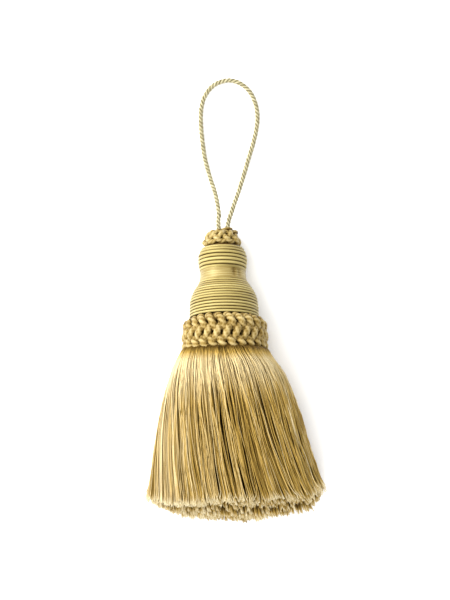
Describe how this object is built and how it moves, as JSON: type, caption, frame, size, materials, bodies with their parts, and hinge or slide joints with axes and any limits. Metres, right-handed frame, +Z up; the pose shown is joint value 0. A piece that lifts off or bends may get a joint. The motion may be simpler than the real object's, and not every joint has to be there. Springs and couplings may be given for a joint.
{
  "type": "silk tassel",
  "caption": "Gold silk tassel lying on its back: twisted hanging loop, knotted cap, corded head, plaited collar and a full cut skirt that fans out.",
  "frame": {"origin": "on the surface that the tassel lies on, in the middle of the footprint of the tassel without its hanging loop", "axes": "+Z up from the surface, +Y along the tassel towards its hanging loop, +X to the right seen from above with the loop at the top"},
  "size_m": [0.0926, 0.2273, 0.0466],
  "materials": {
    "loop_cord": "twisted silk cord, pale straw",
    "knot_cord": "knotted silk cord, gold",
    "wound_cord": "wound silk cord, satin gold",
    "waist_floss": "flat silk floss, glossy gold",
    "collar_cord": "plaited silk cord, soft gold",
    "skirt_silk": "cut silk yarn, glossy straw gold"
  },
  "bodies": {
    "root": {"hanging_loop": "loop_cord", "top_knot": "knot_cord", "bulb_winding": "wound_cord", "waist_binding": "waist_floss", "bell_winding": "wound_cord", "plaited_collar": "collar_cord", "skirt": "skirt_silk"}
  },
  "joints": []
}
